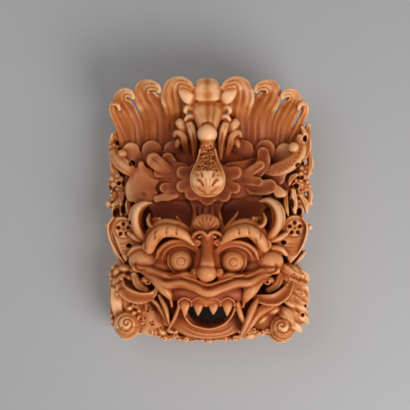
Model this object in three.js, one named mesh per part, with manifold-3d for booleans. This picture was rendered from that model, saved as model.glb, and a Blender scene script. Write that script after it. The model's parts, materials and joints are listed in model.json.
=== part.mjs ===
// A carved wooden barong mask: one block of hardwood with a feathered crown, a leafy forehead,
// a bulging-eyed face with fangs, pierced side ornament and a gouged-out flat back.
// Millimetres. The back lies on z = 0, +Z is the way the face looks, +Y is towards the crown.
// X and Y are measured from the middle of the brow, and the whole is centred at the end.
import * as THREE from "three";
import { mergeVertices } from "three/addons/utils/BufferGeometryUtils.js";
import Module from "manifold-3d";

// Driving dimensions
const BLOCK_LEFT = 132; // half widths of the block, from the brow's middle line
const BLOCK_RIGHT = 138;
const BLOCK_TOP = 108; // where the feathers leave the block
const BLOCK_FOOT = 172; // below the brow
const BLOCK_DEPTH = 40;
const WAIST_Y = -70; // notch between ear and hair
const WAIST_DEPTH = 24;
const CROWN_TOP = 166; // centre line of the tallest feather tips
const FEATHER_THICK = 7;
const FOREHEAD_HEIGHT = 66; // leaf-covered dome
const PETAL_HEIGHT = 76; // lotus petals under the bulb
const FACE_HEIGHT = 88; // dome under the face
const EYE_RADIUS = 15;
const EYE_FRONT = 101;
const CHEEK_RADIUS = 23;
const NOSE_FRONT = 122;
const BULB_RADIUS = 22.5;
const BULB_FRONT = 127;
const LIP_FRONT = 106;
const TOOTH_LENGTH = 22;
const POD_RADIUS = 19;
const MOUTH_HALF = { x: 31, y: 18 };
const END_DOME = 0.55; // how far a carved bar's end swells out, as a share of its half width
const JOIN_TOLERANCE = 2; // slivers left by the joins are merged within this
const HOLLOW = { x: 88, y: 104, z: 50 }; // half sizes of the gouged back

const wasm = await Module();
wasm.setup();

// ---- joining and shaping -------------------------------------------------------------------

function solidOf(geometry) {
  const bare = geometry.clone();
  bare.deleteAttribute("normal");
  bare.deleteAttribute("uv");
  const merged = mergeVertices(bare, 1e-4);
  return new wasm.Manifold(new wasm.Mesh({
    numProp: 3,
    vertProperties: new Float32Array(merged.attributes.position.array),
    triVerts: new Uint32Array(merged.index.array),
  }));
}

function geometryOf(solid) {
  const mesh = solid.getMesh();
  const geometry = new THREE.BufferGeometry();
  geometry.setAttribute("position", new THREE.BufferAttribute(mesh.vertProperties.slice(), 3));
  geometry.setIndex(new THREE.BufferAttribute(mesh.triVerts.slice(), 1));
  return geometry;
}

const at = (x, y, z) => new THREE.Vector3(x, y, z);
const toRadians = THREE.MathUtils.degToRad;

// A value read smoothly from a short list along 0..1.
function along(list, u) {
  const place = u * (list.length - 1);
  const i = Math.min(Math.floor(place), list.length - 2);
  const f = place - i;
  const eased = f * f * (3 - 2 * f);
  return list[i] * (1 - eased) + list[i + 1] * eased;
}

// A bar of oval section along a smooth curve: half widths across the face, half heights towards it.
function strand(points, halfWidths, halfHeights, { sides = 6, steps = 5, flutes = 0, depth = 0.2 } = {}) {
  const curve = new THREE.CatmullRomCurve3(points, false, "centripetal");
  const up = at(0, 0, 1);
  const vertices = [];
  for (let i = 0; i <= steps; i++) {
    const u = i / steps;
    const centre = curve.getPoint(u);
    const ahead = curve.getTangent(u);
    const side = new THREE.Vector3().crossVectors(ahead, up).normalize();
    const lift = new THREE.Vector3().crossVectors(side, ahead).normalize();
    const w = along(halfWidths, u);
    const h = along(halfHeights, u);
    for (let k = 0; k < sides; k++) {
      const turn = (2 * Math.PI * k) / sides;
      const swell = 1 - depth * 0.5 * (1 - Math.cos(flutes * turn)) * Math.max(0, Math.sin(turn));
      const corner = centre.clone()
        .addScaledVector(side, w * Math.cos(turn))
        .addScaledVector(lift, h * Math.sin(turn) * (flutes ? swell : 1));
      vertices.push(corner.x, corner.y, corner.z);
    }
  }
  const start = curve.getPoint(0).addScaledVector(curve.getTangent(0), -END_DOME * halfWidths[0]);
  const end = curve.getPoint(1).addScaledVector(curve.getTangent(1), END_DOME * halfWidths.at(-1));
  vertices.push(start.x, start.y, start.z, end.x, end.y, end.z);
  const faces = [];
  const startCap = (steps + 1) * sides;
  for (let i = 0; i < steps; i++) {
    for (let k = 0; k < sides; k++) {
      const next = (k + 1) % sides;
      const [a, b] = [i * sides + k, i * sides + next];
      const [c, d] = [a + sides, b + sides];
      faces.push(a, c, b, b, c, d);
    }
  }
  for (let k = 0; k < sides; k++) {
    const next = (k + 1) % sides;
    faces.push(startCap, k, next);
    faces.push(startCap + 1, steps * sides + next, steps * sides + k);
  }
  const geometry = new THREE.BufferGeometry();
  geometry.setAttribute("position", new THREE.BufferAttribute(new Float32Array(vertices), 3));
  geometry.setIndex(faces);
  return solidOf(geometry);
}

// An egg of half sizes rx, ry, rz, turned in the face's plane by turnDeg.
function egg(x, y, z, rx, ry, rz, turnDeg = 0, detail = 8) {
  const geometry = new THREE.SphereGeometry(1, detail, Math.round(detail / 2));
  geometry.rotateX(Math.PI / 2);
  geometry.scale(rx, ry, rz);
  geometry.rotateZ(toRadians(turnDeg));
  geometry.translate(x, y, z);
  return solidOf(geometry);
}

// A flat plate of the given outline, from the back up to a height.
function plate(shape, height) {
  return solidOf(new THREE.ExtrudeGeometry(shape, { depth: height, bevelEnabled: false, curveSegments: 6 }));
}

// A round stud standing on the block, with a domed front.
function stud(x, y, radius, height, dome = 4, segments = 12) {
  const profile = [
    new THREE.Vector2(0, 5),
    new THREE.Vector2(radius, 5),
    new THREE.Vector2(radius, height - dome),
    new THREE.Vector2(0, height),
  ];
  const geometry = new THREE.LatheGeometry(profile, segments);
  geometry.rotateX(Math.PI / 2);
  geometry.translate(x, y, 0);
  return solidOf(geometry);
}

// ---- the block and its domes -----------------------------------------------------------------

function blockOutline() {
  const shape = new THREE.Shape();
  const round = 14;
  shape.moveTo(-BLOCK_LEFT + round, BLOCK_TOP);
  shape.lineTo(BLOCK_RIGHT - round, BLOCK_TOP);
  shape.quadraticCurveTo(BLOCK_RIGHT, BLOCK_TOP, BLOCK_RIGHT, BLOCK_TOP - round);
  shape.lineTo(BLOCK_RIGHT - 8, -20);
  shape.quadraticCurveTo(BLOCK_RIGHT - 8, WAIST_Y + 16, BLOCK_RIGHT - WAIST_DEPTH, WAIST_Y);
  shape.quadraticCurveTo(BLOCK_RIGHT - 4, WAIST_Y - 8, BLOCK_RIGHT - 4, WAIST_Y - 30);
  shape.lineTo(BLOCK_RIGHT - 10, -BLOCK_FOOT + 20);
  shape.quadraticCurveTo(BLOCK_RIGHT - 20, -BLOCK_FOOT, BLOCK_RIGHT - 50, -BLOCK_FOOT + 4);
  shape.quadraticCurveTo(0, -BLOCK_FOOT - 10, -BLOCK_LEFT + 40, -BLOCK_FOOT + 14);
  shape.quadraticCurveTo(-BLOCK_LEFT + 10, -BLOCK_FOOT + 8, -BLOCK_LEFT + 2, -BLOCK_FOOT + 40);
  shape.lineTo(-BLOCK_LEFT, WAIST_Y - 30);
  shape.quadraticCurveTo(-BLOCK_LEFT, WAIST_Y - 8, -BLOCK_LEFT + WAIST_DEPTH, WAIST_Y);
  shape.quadraticCurveTo(-BLOCK_LEFT + 6, WAIST_Y + 16, -BLOCK_LEFT + 4, -20);
  shape.lineTo(-BLOCK_LEFT, BLOCK_TOP - round);
  shape.quadraticCurveTo(-BLOCK_LEFT, BLOCK_TOP, -BLOCK_LEFT + round, BLOCK_TOP);
  return shape;
}

function block() {
  const flat = plate(blockOutline(), BLOCK_DEPTH);
  const reach = plate(blockOutline(), FACE_HEIGHT + 20);
  const forehead = egg(0, 34, 0, 138, 82, FOREHEAD_HEIGHT, 0, 22);
  const face = egg(0, -86, 0, 94, 88, FACE_HEIGHT, 0, 22);
  return wasm.Manifold.union([flat, forehead.intersect(reach), face.intersect(reach)]);
}

// ---- crown -----------------------------------------------------------------------------------

// A feather grows out of the block, leans out, and curls forward at its tip, hooked to one side.
function feather(rootX, tipX, tipY, tipZ, halfWidth, hook) {
  const rootY = 72;
  const sway = (tipX - rootX) * 0.35;
  const path = [
    at(rootX, rootY, 26),
    at(rootX + sway * 0.4, rootY + 30, 34),
    at(rootX + sway * 1.2, rootY + 58, tipZ - 34),
    at(tipX - hook * 1.5, tipY - 14, tipZ - 14),
    at(tipX, tipY - 2, tipZ - 4),
    at(tipX + hook * 4, tipY + 3, tipZ + 2),
  ];
  const w = halfWidth;
  const t = FEATHER_THICK;
  return strand(path, [w, w, w, w * 1.1, w * 0.95, w * 0.5], [t * 1.8, t * 1.6, t, t * 0.8, t * 0.7, t * 0.5],
    { sides: 12, steps: 7, flutes: 4, depth: 0.45 });
}

function crown() {
  const rows = [
    // root x, tip x, tip y, tip z, half width, hook towards the middle
    [-42, -40, CROWN_TOP + 4, 92, 16, 1],
    [-66, -76, CROWN_TOP, 92, 16, 1],
    [-90, -107, CROWN_TOP - 9, 88, 13, 1],
    [-114, -124, CROWN_TOP - 25, 82, 8, 1],
    [42, 38, CROWN_TOP + 3, 92, 16, -1],
    [68, 79, CROWN_TOP - 1, 92, 16, -1],
    [96, 111, CROWN_TOP - 9, 88, 13, -1],
    [118, 128, CROWN_TOP - 25, 82, 8, -1],
  ];
  const feathers = rows.map((row) => feather(...row));
  const middle = strand(
    [at(0, 80, 30), at(0, 118, 44), at(0, 146, 66), at(0, CROWN_TOP - 6, 84), at(0, CROWN_TOP + 3, 92)],
    [14, 15, 17, 18, 10], [12, 10, 7, 7, 5], { sides: 12, steps: 7, flutes: 2, depth: 0.3 });
  return [...feathers, middle];
}

// A row of rounded scales along the feathers' roots, on either side of the column.
function scallops() {
  const centres = [-101, -75, -46, 48, 79, 104];
  return centres.map((x) => stud(x, 81, 14, 52 - Math.abs(x) * 0.04));
}

// ---- column, bulb and lotus ------------------------------------------------------------------

function column() {
  const stem = strand(
    [at(0, 140, 72), at(0, 128, 80), at(0, 108, 90), at(0, 84, 92), at(0, 62, 95), at(0, 34, 98)],
    [21, 20, 14.5, 10, 13, 12], [16, 16, 13, 11, 13, 12], { sides: 10, steps: 9 });
  const knob = egg(0, 99, 95, 12.5, 13, 12, 0, 10);
  const bulb = egg(0, 40, BULB_FRONT - BULB_RADIUS, BULB_RADIUS, BULB_RADIUS + 1, BULB_RADIUS, 0, 16);
  const rootBlock = strand([at(0, 138, 40), at(0, 110, 50), at(0, 60, 60), at(0, 36, 70)],
    [20, 20, 18, 18], [24, 26, 28, 24], { sides: 8, steps: 4 });
  const scrolls = [];
  for (const s of [-1, 1]) {
    scrolls.push(strand([at(s * 21, 118, 66), at(s * 25, 106, 66), at(s * 21, 94, 66), at(s * 17, 82, 62)],
      [3, 6, 6, 3], [18, 22, 22, 18]));
    scrolls.push(strand([at(s * 24, 128, 66), at(s * 36, 116, 72), at(s * 42, 104, 68), at(s * 34, 92, 56)],
      [4, 7, 7, 5], [10, 12, 12, 10]));
    scrolls.push(egg(s * 24, 136, 76, 8, 5, 12, s * 30));
  }
  return [stem, knob, bulb, rootBlock, ...scrolls];
}

// Petals ring the bulb like an open lotus, all but at its top.
function lotus() {
  const petals = [];
  const petalCount = 7;
  for (let i = 0; i < petalCount; i++) {
    const turn = 180 + (i * 180) / (petalCount - 1) + (i - 3) * 8;
    const a = toRadians(turn);
    petals.push(egg(35 * Math.cos(a), 40 + 31 * Math.sin(a), PETAL_HEIGHT - 15, 13, 11, 15, turn));
  }
  return [egg(0, 38, 52, 36, 34, PETAL_HEIGHT - 54, 0, 12), ...petals];
}

// ---- forehead leaves -------------------------------------------------------------------------

function leafLobes(side) {
  const s = side;
  const lobe = (x0, y0, x1, y1, z, w) => strand(
    [at(s * x0, y0, z - 10), at(s * (x0 + x1) / 2, (y0 + y1) / 2 + 2, z), at(s * x1, y1, z - 3)],
    [w * 0.5, w * 1.1, w * 0.8], [9, 9, 7], { steps: 3 });
  return [
    lobe(40, 42, 72, 66, 62, 8),
    lobe(38, 52, 58, 76, 60, 7),
    lobe(44, 36, 68, 48, 64, 7),
    lobe(48, 30, 66, 30, 62, 7),
    lobe(50, 20, 70, 18, 60, 7),
    lobe(60, 12, 88, 14, 54, 7),
    lobe(72, 40, 96, 58, 54, 8),
  ];
}

function forehead() {
  const panelLeft = egg(-86, 34, 34, 30, 24, 26, 0, 12);
  const panelRight = egg(90, 36, 34, 28, 24, 28, 0, 12);
  const bandLeft = strand([at(-134, 76, 34), at(-122, 62, 44), at(-104, 50, 50), at(-88, 42, 50)],
    [6, 8, 9, 7], [10, 10, 9, 8]);
  const sash = strand([at(134, 84, 42), at(122, 72, 56), at(100, 60, 62), at(74, 52, 60)],
    [7, 9, 9, 7], [10, 9, 9, 8]);
  const ballLeft = egg(-116, 74, 46, 7, 7, 7);
  const ballRight = egg(115, 83, 58, 8, 8, 8);
  return [panelLeft, panelRight, bandLeft, sash, ballLeft, ballRight, ...leafLobes(-1), ...leafLobes(1)];
}

// ---- face ------------------------------------------------------------------------------------

// Crescent horn curling round the bowl over each brow, with a small spiral inside it.
function crescent(s) {
  return [
    strand([at(s * 70, 12, 78), at(s * 90, 8, 84), at(s * 100, -10, 86), at(s * 98, -28, 82), at(s * 80, -42, 76)],
      [2, 5, 7, 7, 6], [5, 9, 11, 12, 12], { sides: 8, steps: 8 }),
    egg(s * 65, -16, 60, 6, 7, 26),
    strand([at(s * 18, -34, 84), at(s * 30, -22, 84), at(s * 41, -5, 78)], [3, 2.6, 0.8], [5, 4, 2], { steps: 3 }),
  ];
}

function brow(s) {
  const ridge = strand(
    [at(s * 17, -42, 92), at(s * 32, -27, 94), at(s * 52, -24, 94), at(s * 68, -36, 90), at(s * 74, -52, 82)],
    [5, 8, 9.5, 9, 6], [9, 10, 10, 10, 8], { steps: 8, sides: 8 });
  const lid = strand(
    [at(s * 15, -50, 90), at(s * 24, -44, 92), at(s * 40, -42, 92), at(s * 56, -52, 88), at(s * 64, -62, 82)],
    [2.5, 3.5, 3.5, 3.5, 2.5], [8, 9, 9, 9, 8], { steps: 7 });
  return [ridge, lid];
}

function eye(s) {
  const socket = egg(s * 34, -66.5, 76, EYE_RADIUS + 5, EYE_RADIUS + 5, 14, 0, 12);
  const ball = egg(s * 34, -66.5, EYE_FRONT - EYE_RADIUS, EYE_RADIUS, EYE_RADIUS, EYE_RADIUS, 0, 16);
  return [socket, ball];
}

function nose() {
  return [
    strand([at(0, -30, 90), at(0, -46, 94), at(0, -62, 98), at(0, -76, 103)],
      [10, 8.5, 9, 11], [12, 12, 12, 12], { sides: 8 }),
    egg(0, -80, NOSE_FRONT - 14, 12.5, 11.5, 14, 0, 12),
    egg(-14, -80, 98, 7, 6, 10),
    egg(14, -80, 98, 7, 6, 10),
  ];
}

function palmette() {
  const lobes = [];
  for (let i = -2; i <= 2; i++) {
    const lean = toRadians(90 - i * 24);
    lobes.push(egg(9 * Math.cos(lean), -20 + 9 * Math.sin(lean), 88, 9, 4.5, 12, 90 - i * 24));
  }
  const ridge = strand(
    [at(-15, -42, 92), at(-18, -34, 96), at(-8, -27, 99), at(0, -29, 100), at(8, -27, 99), at(18, -34, 96),
      at(15, -42, 92)],
    [2.5, 3, 3, 3, 3, 3, 2.5], [6, 8, 8, 8, 8, 8, 6], { steps: 12 });
  const strip = egg(0, -4, 66, 13, 18, 16, 0, 10);
  return [...lobes, ridge, strip, egg(-13, -42, 94, 4.5, 4.5, 8), egg(13, -42, 94, 4.5, 4.5, 8)];
}

function cheeks() {
  return [
    egg(-80, -68, 84 - CHEEK_RADIUS, CHEEK_RADIUS, CHEEK_RADIUS - 2, CHEEK_RADIUS, 0, 14),
    egg(76, -69, 84 - CHEEK_RADIUS, CHEEK_RADIUS, CHEEK_RADIUS - 2, CHEEK_RADIUS, 0, 14),
  ];
}

function upperLip() {
  const lipLine = [
    at(-82, -82, 78), at(-62, -92, 88), at(-40, -98, 96), at(-20, -93, LIP_FRONT - 8), at(0, -103, LIP_FRONT - 6),
    at(22, -93, LIP_FRONT - 8), at(44, -97, 96), at(62, -91, 88), at(78, -84, 78),
  ];
  return strand(lipLine, [3, 5, 6, 6, 6.5, 6, 6, 5, 3], [10, 12, 12, 12, 12, 12, 12, 12, 10], { steps: 16 });
}

function gumAndTeeth() {
  const gum = egg(0, -106, 74, 46, 26, 24, 0, 16).intersect(egg(0, -100, 60, 60, 21, 60, 0, 16));
  const parts = [gum];
  for (const x of [-30, -12, 7, 26]) {
    const root = { y: -108, z: 86 };
    parts.push(strand([at(x, root.y, root.z), at(x, root.y - 12, root.z + 3), at(x, root.y - 8 - TOOTH_LENGTH, root.z + 2)],
      [6.5, 6, 0.8], [7, 6, 1], { steps: 2 }));
  }
  for (const s of [-1, 1]) {
    parts.push(strand(
      [at(s * 70, -88, 78), at(s * 62, -97, 84), at(s * 52, -112, 86), at(s * 46, -128, 84)],
      [7, 7, 5, 0.8], [12, 10, 7, 1]));
  }
  return parts;
}

function lowerJaw() {
  const lip = strand(
    [at(-50, -118, 70), at(-42, -140, 70), at(-24, -156, 72), at(0, -161, 74), at(24, -156, 72), at(42, -140, 70),
      at(50, -118, 70)],
    [7, 7, 7, 7, 7, 7, 7], [26, 22, 20, 18, 20, 22, 26], { steps: 12 });
  const ruffles = [];
  for (let x = -52; x <= 66; x += 14.5) {
    ruffles.push(egg(x, -168 - 5 * Math.cos(x / 40), 40, 9, 8, 20));
  }
  return [lip, ...ruffles];
}

// ---- side ornament ---------------------------------------------------------------------------

function ear(s) {
  const leaf = strand([at(s * 116, -12, 34), at(s * 122, -30, 42), at(s * 118, -52, 40), at(s * 108, -74, 30)],
    [15, 16, 12, 4], [20, 20, 16, 8], { sides: 8 });
  const flower = egg(s * 116, -24, 50, 13, 13, 12, 0, 10);
  const strap = egg(s * 100, -42, 44, 22, 12, 18, s * 35);
  return [leaf, flower, strap];
}

// Pods: ball ends with a rolled spiral, at the two foot corners.
function pod(x, y) {
  const turns = 1.5;
  const coil = [];
  for (let i = 0; i <= 8; i++) {
    const a = toRadians(200) - (i / 8) * turns * 2 * Math.PI;
    const r = POD_RADIUS * (0.72 - 0.6 * (i / 8));
    coil.push(at(x + r * Math.cos(a), y + 4 + r * Math.sin(a), 58 + 10 * (i / 8)));
  }
  return [
    egg(x, y, 44, POD_RADIUS, POD_RADIUS + 1, 24, 0, 12),
    stud(x, y, POD_RADIUS * 0.8, 50, 3),
    strand(coil, [3, 4, 4, 3], [4, 5, 5, 4], { steps: 12 }),
  ];
}

function hair(s) {
  const locks = [];
  for (let i = 0; i < 4; i++) {
    const y = -80 - i * 17;
    locks.push(strand([at(s * 103, y, 41), at(s * 118, y - 5, 47), at(s * (132 - i), y - 19, 37)],
      [6, 8, 2], [14, 14, 8], { steps: 3 }));
  }
  const fold = strand([at(s * 62, -112, 62), at(s * 80, -124, 64), at(s * 100, -116, 60), at(s * 112, -98, 50)],
    [4, 6, 6, 3], [10, 10, 10, 8]);
  const lobe = strand([at(s * 53, -143, 57), at(s * 66, -152, 55), at(s * 84, -161, 46)], [7, 9, 8], [14, 16, 14],
    { steps: 4 });
  const jowl = strand([at(s * 104, -94, 44), at(s * 84, -112, 52), at(s * 64, -130, 60), at(s * 48, -156, 62)],
    [4, 5, 6, 4], [14, 14, 14, 12]);
  return [...locks, fold, lobe, jowl];
}

// Leaf and flower tracery down each long side, pierced right through the block.
function tracery() {
  const knots = [];
  for (const y of [96, 76, 56, 34, 10]) {
    knots.push(egg(-126, y, 34, 9, 9, 12));
    knots.push(egg(132, y + 4, 36, 11, 10, 14));
  }
  return knots;
}

function piercings() {
  const slots = [
    // x, y, half width, half height
    [-114, 2, 3, 12], [-124, -4, 3, 7], [-112, 60, 5, 4], [-109, -49, 4, 3],
    [114, 10, 4, 10], [126, -2, 4, 4], [119, 31, 4, 4], [128, 48, 4, 5], [102, -44, 4, 3],
  ];
  return slots.map(([x, y, rx, ry]) => {
    const hole = new THREE.CylinderGeometry(1, 1, 160, 7);
    hole.rotateX(Math.PI / 2);
    hole.scale(rx, ry, 1);
    hole.translate(x, y, 60);
    return solidOf(hole);
  });
}

function bowls() {
  return [-1, 1].map((s) => egg(s * 58, -6, 86, 37, 24, 36, 0, 14));
}

function mouthAndCorners() {
  const throat = new THREE.CylinderGeometry(1, 1, 140, 20);
  throat.rotateX(Math.PI / 2);
  throat.scale(MOUTH_HALF.x, MOUTH_HALF.y, 1);
  throat.translate(1, -136, 60);
  return [
    solidOf(throat),
    egg(-75, -104, 84, 17, 12, 26, -20, 10),
    egg(74, -106, 84, 15, 12, 26, 20, 10),
  ];
}

// ---- the whole mask --------------------------------------------------------------------------

function mask() {
  const hollow = egg(0, -42, 0, HOLLOW.x, HOLLOW.y, HOLLOW.z, 0, 20);
  const ground = new THREE.BoxGeometry(600, 600, 40);
  ground.translate(0, 0, -20);
  const union = (list) => wasm.Manifold.union(list);
  let body = union([block(), ...lotus(), ...forehead(), ...scallops(), ...cheeks(), ...tracery()]);
  body = body.subtract(union(bowls()));
  body = union([body, ...crown(), ...column(), ...crescent(-1), ...crescent(1), ...palmette(), ...nose(),
    ...brow(-1), ...brow(1), ...eye(-1), ...eye(1), ...lowerJaw(), ...ear(-1), ...ear(1),
    ...hair(-1), ...hair(1), ...pod(-109, -154), ...pod(101, -157)]);
  body = body.subtract(union([...mouthAndCorners(), ...piercings(), hollow]));
  body = union([body, upperLip(), ...gumAndTeeth()]);
  return solidOf(geometryOf(body.subtract(solidOf(ground)))).simplify(JOIN_TOLERANCE);
}

const geometry = geometryOf(mask());
geometry.computeBoundingBox();
const centre = geometry.boundingBox.getCenter(new THREE.Vector3());
geometry.translate(-centre.x, -centre.y, -geometry.boundingBox.min.z);
geometry.computeVertexNormals();

const carvedWood = new THREE.MeshStandardMaterial({ color: 0xb8743f, roughness: 0.45, metalness: 0 });
const carving = new THREE.Mesh(geometry, carvedWood);
carving.name = "mask";

const group = new THREE.Group();
group.add(carving);

export default group;
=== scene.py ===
import json
import math

import bpy
import numpy as np
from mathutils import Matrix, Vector

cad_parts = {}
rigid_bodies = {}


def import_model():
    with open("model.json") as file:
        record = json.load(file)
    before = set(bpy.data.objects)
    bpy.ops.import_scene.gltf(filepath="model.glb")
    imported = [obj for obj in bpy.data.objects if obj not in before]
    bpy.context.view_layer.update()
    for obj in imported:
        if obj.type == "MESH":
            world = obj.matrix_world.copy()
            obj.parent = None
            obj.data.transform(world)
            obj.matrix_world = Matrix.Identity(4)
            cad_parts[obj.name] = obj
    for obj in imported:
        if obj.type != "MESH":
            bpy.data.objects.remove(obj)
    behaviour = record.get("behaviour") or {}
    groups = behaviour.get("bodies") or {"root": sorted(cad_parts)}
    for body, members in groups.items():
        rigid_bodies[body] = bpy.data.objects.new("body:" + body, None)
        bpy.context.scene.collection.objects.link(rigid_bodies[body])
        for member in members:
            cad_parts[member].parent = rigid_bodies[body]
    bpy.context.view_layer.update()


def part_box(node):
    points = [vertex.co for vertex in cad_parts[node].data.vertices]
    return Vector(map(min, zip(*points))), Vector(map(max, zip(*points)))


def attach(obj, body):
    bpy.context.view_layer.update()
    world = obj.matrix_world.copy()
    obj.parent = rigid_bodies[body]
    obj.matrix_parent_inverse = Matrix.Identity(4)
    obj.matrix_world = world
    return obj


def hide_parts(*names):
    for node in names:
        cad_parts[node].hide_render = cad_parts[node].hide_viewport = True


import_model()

# ---- The block ----
# One thick plank of warm brown hardwood, sawn flat behind. The carver first bosses it out into a low
# forehead dome and a high face dome. This ground is held as a height for every place across the
# block, so that plates, lobes and hollows are cut into it with crisp edges.

MM = 0.001
low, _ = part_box("mask")
FACE_AXIS_X = low.x + 0.139  # the middle line of the face
BROW_Y = low.y + 0.181       # the brow, from which the carver's distances are taken
FLOOR_Z = low.z
STEP = 0.9


def let_go():
    """Deselects everything, because an operator acts on all that is selected."""
    for thing in bpy.context.selected_objects:
        thing.select_set(False)


let_go()

columns = np.arange(-146, 148, STEP)
rows = np.arange(-184, 118, STEP)
across, along = np.meshgrid(columns, rows)
ground = np.zeros_like(across)


def spot(x, y, z):
    """A place on the block in metres, from millimetres off the middle of the brow."""
    return Vector((FACE_AXIS_X + x * MM, BROW_Y + y * MM, FLOOR_Z + z * MM))


def smooth_line(points, count):
    """A smooth run of count points through the given ones."""
    p = np.array(points, dtype=float)
    p = np.vstack([2 * p[0] - p[1], p, 2 * p[-1] - p[-2]])
    spans = len(p) - 3
    t = np.linspace(0, spans, count)
    k = np.minimum(t.astype(int), spans - 1)
    f = (t - k)[:, None]
    a, b, c, d = p[k], p[k + 1], p[k + 2], p[k + 3]
    return 0.5 * (2 * b + (c - a) * f + (2 * a - 5 * b + 4 * c - d) * f ** 2
                  + (3 * b - a - 3 * c + d) * f ** 3)


def window(x0, x1, y0, y1):
    """The part of the ground between these limits."""
    i0, i1 = np.searchsorted(columns, (x0, x1))
    j0, j1 = np.searchsorted(rows, (y0, y1))
    return slice(j0, j1), slice(i0, i1)


def edge_distance(x, y, outline):
    """How far each place lies inside a closed outline, negative outside."""
    inside = np.zeros(x.shape, dtype=bool)
    nearest = np.full(x.shape, 1e9)
    for (ax, ay), (bx, by) in zip(outline, np.roll(outline, -1, axis=0)):
        if ay != by:
            crosses = (ay > y) != (by > y)
            inside ^= crosses & (x < (bx - ax) * (y - ay) / (by - ay) + ax)
        length = (bx - ax) ** 2 + (by - ay) ** 2
        t = np.clip(((x - ax) * (bx - ax) + (y - ay) * (by - ay)) / max(length, 1e-9), 0, 1)
        nearest = np.minimum(nearest, (x - ax - t * (bx - ax)) ** 2 + (y - ay - t * (by - ay)) ** 2)
    return np.where(inside, 1, -1) * np.sqrt(nearest)


def ease(t):
    t = np.clip(t, 0, 1)
    return t * t * (3 - 2 * t)


def plate(outline, top, edge=1.4, crown=0.0, lift=False, smooth=True):
    """Leaves a plate standing inside an outline, its top at a height or lifted off the ground."""
    outline = np.array(outline, dtype=float)
    if smooth:
        loop = np.vstack([outline[-1:], outline, outline[:2]])
        outline = smooth_line(loop, 6 * (len(loop) - 1) + 1)[6:-6]
    where = window(outline[:, 0].min(), outline[:, 0].max(), outline[:, 1].min(), outline[:, 1].max())
    inner = edge_distance(across[where], along[where], outline)
    level = (ground[where] if lift else 0) + top + crown * (1 - np.exp(-np.maximum(inner, 0) / 6))
    risen = ground[where] * (1 - ease(inner / edge)) + level * ease(inner / edge)
    ground[where] = np.where(inner > 0, np.maximum(ground[where], risen), ground[where])


def oval(dx, dy, rx, ry, turn):
    """How far out these offsets lie in a turned oval, squared: 1 on its edge."""
    a = math.radians(turn)
    lengthwise = dx * math.cos(a) + dy * math.sin(a)
    crosswise = dy * math.cos(a) - dx * math.sin(a)
    return (lengthwise / rx) ** 2 + (crosswise / ry) ** 2


def dome(x, y, rx, ry, top, foot=0.0, turn=0.0, power=0.5):
    """Leaves a rounded boss standing."""
    reach = max(rx, ry)
    where = window(x - reach, x + reach, y - reach, y + reach)
    r = oval(across[where] - x, along[where] - y, rx, ry, turn)
    rise = foot + (top - foot) * np.maximum(1 - r, 0) ** power
    ground[where] = np.where(r < 1, np.maximum(ground[where], rise), ground[where])


OUTLINE = [(-120, 104), (-60, 106), (0, 106), (60, 106), (120, 106), (136, 98), (138, 50), (136, 0),
    (128, -40), (113, -70), (130, -80), (135, -110), (131, -146), (112, -172), (84, -172), (50, -176),
    (0, -179), (-50, -174), (-84, -168), (-110, -170), (-130, -146), (-134, -110), (-131, -80), (-112, -70),
    (-126, -40), (-133, 0), (-134, 50), (-134, 92)]
plate(OUTLINE, 26, edge=3)
plate([(x * 0.93, y * 0.96) for x, y in OUTLINE], 42, edge=4)
dome(0, 38, 132, 84, 60)
dome(0, 44, 80, 48, 72, foot=40)
dome(0, -88, 100, 92, 80)
dome(0, -112, 66, 50, 88, foot=50)
for s in (-1, 1):
    dome(s * 35, -54, 33, 24, 91, foot=60)
    dome(s * 60, -56, 20, 20, 86, foot=60)
dome(-112, -112, 24, 48, 55, foot=30)
for s in (-1, 1):
    dome(s * 48, -132, 22, 26, 74, foot=56)
    dome(s * 76, -138, 28, 34, 60, foot=40)
    dome(s * 100, -132, 34, 40, 54, foot=30)
    dome(s * 104, -40, 30, 38, 46, foot=30)

# ---- The feathered crown ----
# Eight long feathers and a middle petal fan out of the block. Each is cut thin and scooped, sweeps
# outwards, leans forward, and rolls round at its tip into a small hook that faces the middle.

wood = []  # every form that stands on the ground


def egg(x, y, z, rx, ry, rz, turn=0, tilt=0):
    """A rounded boss: half sizes rx, ry, rz, turned in the face's plane and tilted about its length."""
    bpy.ops.mesh.primitive_uv_sphere_add(segments=28, ring_count=16, radius=1, location=spot(x, y, z),
        rotation=(math.radians(tilt), 0, math.radians(turn)))
    thing = bpy.context.object
    thing.scale = (rx * MM, ry * MM, rz * MM)
    wood.append(thing)


def new_object(name, vertices, faces):
    mesh = bpy.data.meshes.new(name)
    mesh.from_pydata(vertices, [], faces)
    mesh.update()
    thing = bpy.data.objects.new(name, mesh)
    bpy.context.scene.collection.objects.link(thing)
    return thing


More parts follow.
